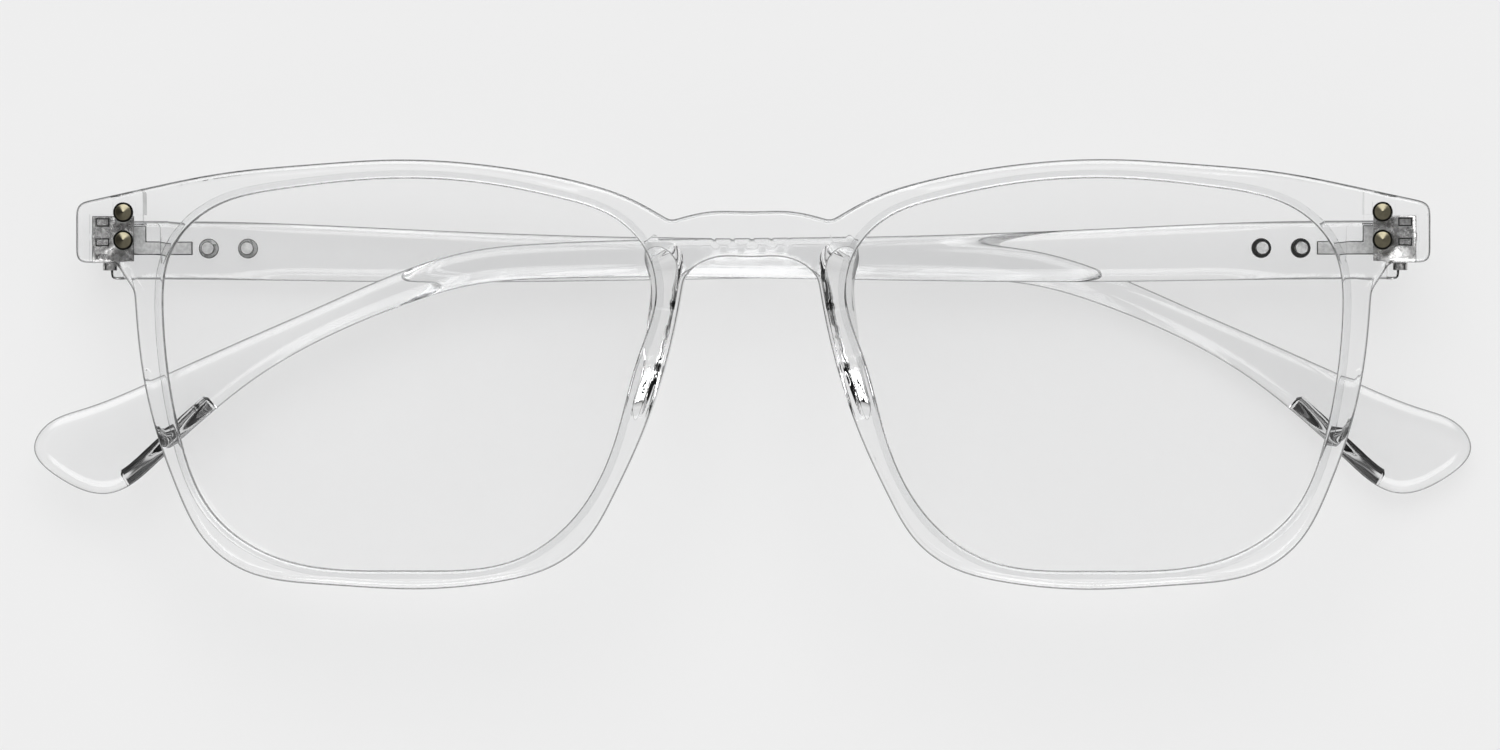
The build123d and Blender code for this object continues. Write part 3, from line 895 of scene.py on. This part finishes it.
def mapped(tree, source, low, high):
    """The source's 0 to 1 value, spread between low and high."""
    return add(tree, "ShaderNodeMapRange", Value=source, To_Min=low, To_Max=high).outputs["Result"]


def smooth_step(tree, source, edges, high=1.0):
    """A smooth rise from 0 to high between two values of the source."""
    step = add(tree, "ShaderNodeMapRange", Value=source, From_Min=edges[0], From_Max=edges[1], To_Max=high)
    step.interpolation_type = "SMOOTHSTEP"
    return step.outputs["Result"]


def relief(tree, source, strength, height):
    """A fine relief, for a shader's normal."""
    return add(tree, "ShaderNodeBump", Height=source, Strength=strength, Distance=height).outputs["Normal"]


def painted_edge_shade(tree, path, colour):
    """The colour with painted shade where the surface turns away from the view, but not for the light that
    falls on the floor.
    """
    tilt = add(tree, "ShaderNodeLayerWeight", Blend=0.5).outputs["Facing"]
    direct = calculated(tree, "LESS_THAN", path["Diffuse Depth"], 0.5)
    amount = calculated(tree, "MULTIPLY", direct, smooth_step(tree, tilt, EDGE_SHADE_TILTS))
    return add(tree, "ShaderNodeMixRGB", amount, colour, EDGE_SHADE_COLOUR).outputs["Color"]


def clear_plastic(name, ior, colour, roughest, wobble, shade_edges=False, lets_light=False):
    """Polished clear plastic: edges may take painted shade as they turn away, thin sheets may let light
    through.
    """
    material, tree = node_setup(name)
    path = add(tree, "ShaderNodeLightPath").outputs
    plastic = add(
        tree, "ShaderNodeBsdfPrincipled", IOR=ior, Base_Color=colour, Transmission_Weight=1.0,
        Roughness=mapped(tree, fine_noise(tree, POLISH_SCALE), 0.0, roughest),
        Normal=relief(tree, fine_noise(tree, WAVE_SCALE, 1.0), wobble, WAVE_HEIGHT),
    )
    if shade_edges:
        tree.links.new(painted_edge_shade(tree, path, colour), plastic.inputs["Base Color"])
    if not lets_light:
        return surfaced(material, plastic.outputs["BSDF"])
    either = calculated(tree, "MAXIMUM", path["Is Shadow Ray"], path["Is Diffuse Ray"])
    through = add(tree, "ShaderNodeBsdfTransparent", Color=LENS_SHADOW_COLOUR).outputs["BSDF"]
    mix = add(tree, "ShaderNodeMixShader", either, plastic.outputs["BSDF"], through)
    return surfaced(material, mix.outputs["Shader"])


def metal(name, colour, rough_low, rough_high, grain, mottle=0.6, turned_finish=False):
    """Bare metal with a mottled colour and fine grain, which may be turned round the piece's axis."""
    material, tree = node_setup(name)
    dark = tuple(c * mottle for c in colour[:3]) + (1,)
    cloud = mapped(tree, fine_noise(tree, MOTTLE_SCALE, 4.0), *MOTTLE_SPREAD)
    noise = fine_noise(tree, GRAIN_SCALE)
    shader = add(
        tree, "ShaderNodeBsdfPrincipled", Metallic=1.0,
        Base_Color=add(tree, "ShaderNodeMixRGB", cloud, dark, colour).outputs["Color"],
        Roughness=mapped(tree, noise, rough_low, rough_high),
        Normal=relief(tree, noise, grain, GRAIN_HEIGHT),
    )
    if turned_finish:
        shader.inputs["Anisotropic"].default_value = TURNED_STRETCH
        around = add(tree, "ShaderNodeTangent")
        around.direction_type = "RADIAL"
        around.axis = "Z"
        tree.links.new(around.outputs["Tangent"], shader.inputs["Tangent"])
    return surfaced(material, shader.outputs["BSDF"])


clear = clear_plastic("clear_frame", CLEAR_IOR, CLEAR_COLOUR, 0.02, WAVE_STRENGTH)
# Clear walls and rounds, with painted shade where they turn away from the view
clear_painted_edge_shade = clear_plastic("clear_painted_edge_shade", CLEAR_IOR, CLEAR_COLOUR, 0.02, WAVE_STRENGTH, shade_edges=True)
lens_clear = clear_plastic("lens_clear", LENS_IOR, LENS_COLOUR, 0.004, 0.0, lets_light=True)
# Clear plastic for the nose pads, painted greyer as shade
pad_painted_shade = clear_plastic("pad_painted_shade", CLEAR_IOR, PAD_PAINTED_SHADE_COLOUR, 0.03, WAVE_STRENGTH)
bright = metal("hinge_metal", (0.66, 0.655, 0.65, 1), 0.18, 0.36, 0.3, 0.45)
pale_metal = metal("temple_metal", (0.91, 0.91, 0.905, 1), 0.42, 0.62, 0.2, 0.74)
# Painted shade: near-black for the hinge pieces' eased edges and the knuckles' grooves
painted_shade_metal = metal("hinge_painted_shade", (0.03, 0.03, 0.03, 1), 0.3, 0.5, 0.1)
rivet_cone = metal("rivet_cone", (0.18, 0.164, 0.115, 1), 0.14, 0.2, 0.05, 0.8, turned_finish=True)
# Near-black rivet rim: partly dark oxide, partly painted shadow round the head
rivet_ring = metal("rivet_ring", (0.012, 0.012, 0.01, 1), 0.35, 0.5, 0.05)


def lathe_faces(profile):
    """Faces turned about Z from pairs of radius and level; the first and last rings are closed."""
    return capped([ring_at(circle(0, 0, radius, LATHE_STEPS), level) for radius, level in profile])


def rivet_profile():
    """A front rivet from its tail to its tip: a shank, a ringed head and a turned cone."""
    tail = -POCKET_FLOOR - LEAF_THICKNESS - RIVET_TAIL_HEIGHT
    tail_top = tail + RIVET_TAIL_HEIGHT
    seat = surface_level(RIVET_X) - RIVET_SINK
    rim = seat + RIVET_SINK + RIVET_RIM_HEIGHT
    ease = RIVET_RIM_HEIGHT / 4
    profile = [
        (RIVET_TAIL_RADIUS - ease, tail), (RIVET_TAIL_RADIUS, tail + ease), (RIVET_TAIL_RADIUS, tail_top),
        (RIVET_SHANK_RADIUS, tail_top), (RIVET_SHANK_RADIUS, seat),
        (RIVET_HEAD_RADIUS, seat), (RIVET_HEAD_RADIUS, rim - ease), (RIVET_HEAD_RADIUS - ease, rim),
        (RIVET_RING_RADIUS + ease, rim), (RIVET_RING_RADIUS, rim - ease),
    ]
    count = 2 * RIVET_TURNINGS
    for k in range(count + 1):
        share = k / count
        radius = RIVET_RING_RADIUS + share * (RIVET_TIP_RADIUS - RIVET_RING_RADIUS)
        level = rim + share * RIVET_CONE_HEIGHT - (RIVET_TURNING_DEPTH if k % 2 else 0)
        profile.append((radius, level))
    return profile


# Where the front and the temples lie, from the hinge axes
def joint_point(name):
    """A joint's place in millimetres."""
    return next(Vector(joint["pos_m"]) / MM for joint in frame["joints"] if joint["name"] == name)


right_hinge = joint_point("right_temple_fold")
left_hinge = joint_point("left_temple_fold")
across = (left_hinge - right_hinge).normalized()
up = Vector((0, 1, 0))
outward_way = across.cross(up)
turned = Matrix((across, up, outward_way)).transposed().to_4x4()
front_origin = (right_hinge + left_hinge) / 2 + outward_way * END_DEPTH
front_origin.y = 0
mirrored = {"right": Matrix.Identity(4), "left": Matrix.Diagonal((-1, 1, 1, 1))}


def in_front(side):
    """Puts a right piece of the front in its place, or its mirror image on the left."""
    return Matrix.Translation(front_origin * MM) @ turned @ mirrored[side]


def in_temple(side):
    """Puts the right temple's shape, which starts at the hinge's axis, on its side."""
    hinge = right_hinge if side == "right" else left_hinge
    return Matrix.Translation(Vector((hinge.x, 0, hinge.z)) * MM) @ mirrored[side]


HINGE_PIECES = ("front_hinge_leaf", "hinge_screw", "temple_hinge_leaf", "temple_rivet_front",
                "temple_rivet_rear")


def dress(piece, body, node_names):
    """Says what a piece rides on and which nodes it stands for."""
    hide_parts(*([node_names] if isinstance(node_names, str) else node_names))
    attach(piece, body)


def frame_faces(low, high, width, bottom, top):
    """A closed rectangular ring, from one level to another."""
    outer = rectangle(low, high)
    inner = rectangle(np.add(low, width), np.subtract(high, width))
    steps = ((outer, bottom), (outer, top), (inner, top), (inner, bottom), (outer, bottom))
    return wall_faces([ring_at(line, level) for line, level in steps])


def eased_copy(node_name, material):
    """A copy of a small metal node with its sharp edges eased and painted near-black as shade."""
    mesh = frame["nodes"][node_name].data.copy()
    mesh.name = f"{node_name}_eased"
    piece = new_object(mesh.name, mesh)
    work = bmesh.new()
    work.from_mesh(mesh)
    bmesh.ops.remove_doubles(work, verts=work.verts, dist=WELD * MM)
    bmesh.ops.dissolve_limit(work, angle_limit=math.radians(FLAT_ANGLE), verts=work.verts, edges=work.edges)
    work.to_mesh(mesh)
    work.free()
    mesh.materials.clear()
    mesh.materials.append(material)
    mesh.materials.append(painted_shade_metal)
    apply_modifier(piece, "BEVEL", width=METAL_EDGE * MM, segments=BEVEL_SEGMENTS, limit_method="ANGLE",
                   angle_limit=math.radians(SHARP_ANGLE), use_clamp_overlap=True, material=1)
    return shade(piece)


def round_tab(leaf, side):
    """Trims the front leaf's tab to a disc under its rivet's head."""
    low, high = -POCKET_FLOOR - LEAF_THICKNESS, -POCKET_FLOOR
    beyond = rectangle((RIVET_X - TAB_CUT_HALF, STACK_CENTRE + STACK_HALF),
                       (RIVET_X + TAB_CUT_HALF, NOTCH_TOP + OVERRUN))
    disc = circle(RIVET_X, FRONT_RIVET_HEIGHTS[0], TAB_DISC_RADIUS)
    beyond_block = upright(beyond, low - OVERRUN, high + OVERRUN)
    disc_block = upright(disc, low + METAL_EDGE, high - METAL_EDGE)
    combine(leaf, "DIFFERENCE", "beyond", beyond_block, in_front(side), bright)
    combine(leaf, "UNION", "disc", disc_block, in_front(side), bright)


def outline_knuckles(leaf, side):
    """Cuts the knuckles' outlines into the front leaf's plate, painted near-black as shade in the grooves.
    """
    width, deep = BOX_GROOVE
    for number, (low, high) in enumerate(KNUCKLE_BOXES):
        ring = frame_faces(low, high, width, -POCKET_FLOOR - deep, -POCKET_FLOOR + deep)
        combine(leaf, "DIFFERENCE", f"ring_{number}", ring, in_front(side), painted_shade_metal)


def paint_ring(rivet):
    """Gives the rivet head's outer ring a near-black finish: partly dark oxide, partly painted shadow round
    the head.
    """
    mesh = rivet.data
    mesh.materials.append(rivet_ring)
    middle = sum((v.co for v in mesh.vertices), Vector()) / len(mesh.vertices)
    for face in mesh.polygons:
        away = face.center - middle
        away.z = 0
        if away.length > RIVET_RING_RADIUS * MM:
            face.material_index = 1


def build_front():
    """The front with its two nose pads, as one clear piece; the pads are painted greyer as shade."""
    front = solid_object("front_skin", front_faces(), in_front("right"), clear, clear_painted_edge_shade)
    for side in ("right", "left"):
        combine(front, "UNION", f"{side}_pad_block", pad_faces(), in_front(side), pad_painted_shade, clear_painted_edge_shade)
    dress(shade(front), "front", ("front_frame", "right_nose_pad", "left_nose_pad"))


def build_side(side):
    """One side's lens, temple, rivets and hinge."""
    glass = solid_object(f"{side}_lens_skin", lens_faces(), in_front(side), lens_clear)
    dress(shade(glass), "front", f"{side}_lens")
    arm = solid_object(f"{side}_temple_skin", temple_faces(), in_temple(side), clear, clear_painted_edge_shade)
    for number, cut in enumerate(temple_cuts()):
        combine(arm, "DIFFERENCE", f"cut_{number}", cut, in_temple(side), clear)
    dress(shade(arm), f"{side}_temple", f"{side}_temple")
    for place, height in zip(("upper", "lower"), FRONT_RIVET_HEIGHTS):
        spot = in_front(side) @ Matrix.Translation((RIVET_X * MM, height * MM, 0))
        rivet = solid_object(f"{side}_rivet_{place}_turned", lathe_faces(rivet_profile()), spot, rivet_cone)
        paint_ring(rivet)
        dress(shade(rivet, CONE_SMOOTH_ANGLE), "front", f"{side}_front_rivet_{place}")
    for name in HINGE_PIECES:
        in_arm = name.startswith("temple")
        piece = eased_copy(f"{side}_{name}", pale_metal if in_arm else bright)
        if name == "front_hinge_leaf":
            round_tab(piece, side)
            outline_knuckles(piece, side)
        drop_specks(piece)
        dress(piece, f"{side}_temple" if in_arm else "front", f"{side}_{name}")


build_front()
build_side("right")
build_side("left")

# The photograph's frame and scale
FRAME_WIDTH_PX = 1500
PX_PER_MM = 9.69
VIEW_CENTRE_PX = (750.0, 375.0)
FRONT_CENTRE_PX = (753.0, 374.5)
CAMERA_DISTANCE = 1.0
CAMERA_NEAR = 0.01
SENSOR = 0.036

# Floor and sky
FLOOR_SIZE = 0.36
FAR_FLOOR_SIZE = 1.6
FLOOR_STEP = 0.0001
FLOOR_COLOUR = (0.855, 0.855, 0.855, 1)
GLOW_SHARE = 0.8
SKY_BY_HEIGHT = [(0.0, 0.01), (0.52, 0.02), (0.7, 0.7), (0.84, 0.7), (0.95, 0.28), (1.0, 0.23)]
SOFTBOX_WAY = (0.0, 0.616, 0.788)
SOFTBOX_EDGE = (0.86, 0.93)
SOFTBOX_BRIGHTNESS = 3.88


def unreflected(tree):
    """1 for the camera's own rays and what they meet straight through the plastic, otherwise 0."""
    path = add(tree, "ShaderNodeLightPath").outputs
    bounces = calculated(tree, "ADD", path["Glossy Depth"], path["Diffuse Depth"])
    return calculated(tree, "LESS_THAN", bounces, 0.5)


def glowing_paper(material, tree, under, share):
    """The material: paper that shows its own colour, unshaded, in a share of what is under it."""
    glow = add(tree, "ShaderNodeEmission", Color=FLOOR_COLOUR).outputs["Emission"]
    mix = add(tree, "ShaderNodeMixShader", share, under.outputs["BSDF"], glow)
    return surfaced(material, mix.outputs["Shader"])


def floor_material():
    """Pale paper, mostly unshaded to the camera, in reflections and through the plastic."""
    material, tree = node_setup("paper")
    path = add(tree, "ShaderNodeLightPath").outputs
    seen = calculated(tree, "MAXIMUM", path["Is Camera Ray"], path["Is Transmission Ray"])
    seen = calculated(tree, "MAXIMUM", seen, path["Is Glossy Ray"])
    shaded = add(tree, "ShaderNodeBsdfDiffuse", Color=FLOOR_COLOUR)
    return glowing_paper(material, tree, shaded, calculated(tree, "MULTIPLY", seen, GLOW_SHARE))


def far_floor_material():
    """Paper beyond the lit sheet: it hides what lies under it and adds no light to the object."""
    material, tree = node_setup("far_paper")
    away = add(tree, "ShaderNodeBsdfTransparent")
    return glowing_paper(material, tree, away, unreflected(tree))


def lay_sheet(name, size, level, material):
    """A square sheet of floor."""
    half = size / 2
    corners = [(-half, -half, 0), (half, -half, 0), (half, half, 0), (-half, half, 0)]
    mesh = bpy.data.meshes.new(name)
    mesh.from_pydata(corners, [], [(0, 1, 2, 3)])
    mesh.materials.append(material)
    sheet = new_object(name, mesh)
    sheet.location.z = level


def ramp_of(tree, source, stops):
    """A smooth grey ramp over a value: pairs of place and brightness."""
    ramp = add(tree, "ShaderNodeValToRGB", source)
    band = ramp.color_ramp
    band.interpolation = "EASE"
    band.elements[0].position, band.elements[1].position = stops[0][0], stops[-1][0]
    for place, _ in stops[1:-1]:
        band.elements.new(place)
    for element, (_, grey) in zip(band.elements, stops):
        element.color = (grey, grey, grey, 1)
    return ramp.outputs["Color"]


def studio_world():
    """A bright ring part way up with a softbox in it, dimmer overhead, dark low down to draw the edges.

    Rays that nothing has reflected see the paper's colour instead.
    """
    world = bpy.data.worlds.new("studio")
    world.use_nodes = True
    tree = world.node_tree
    tree.nodes.clear()
    way = add(tree, "ShaderNodeTexCoord").outputs["Generated"]
    height = add(tree, "ShaderNodeSeparateXYZ", way).outputs["Z"]
    facing = add(tree, "ShaderNodeVectorMath", way, SOFTBOX_WAY)
    facing.operation = "DOT_PRODUCT"
    softbox = smooth_step(tree, facing.outputs["Value"], SOFTBOX_EDGE, SOFTBOX_BRIGHTNESS)
    light = add(tree, "ShaderNodeVectorMath", ramp_of(tree, height, SKY_BY_HEIGHT), softbox)
    light.operation = "ADD"
    colour = add(tree, "ShaderNodeMixRGB", unreflected(tree), light.outputs["Vector"], FLOOR_COLOUR)
    background = add(tree, "ShaderNodeBackground", Color=colour.outputs["Color"])
    add(tree, "ShaderNodeOutputWorld", Surface=background.outputs["Background"])
    return world


lay_sheet("floor", FLOOR_SIZE, -FLOOR_STEP, floor_material())
lay_sheet("far_floor", FAR_FLOOR_SIZE, -2 * FLOOR_STEP, far_floor_material())
bpy.context.scene.world = studio_world()

# Camera, straight above, at the photograph's scale on the front
front_low, front_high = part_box("front_frame")
camera_data = bpy.data.cameras.new("camera")
camera_data.sensor_width = SENSOR / MM
camera_data.lens = SENSOR / MM * CAMERA_DISTANCE / (FRAME_WIDTH_PX / PX_PER_MM * MM)
camera_data.clip_start = CAMERA_NEAR
camera = new_object("camera", camera_data)
camera.location = (
    (front_low[0] + front_high[0]) / 2 + (VIEW_CENTRE_PX[0] - FRONT_CENTRE_PX[0]) / PX_PER_MM * MM,
    (FRONT_CENTRE_PX[1] - VIEW_CENTRE_PX[1]) / PX_PER_MM * MM,
    front_high[2] + CAMERA_DISTANCE,
)
bpy.context.scene.camera = camera
bpy.context.scene.view_settings.view_transform = "Standard"
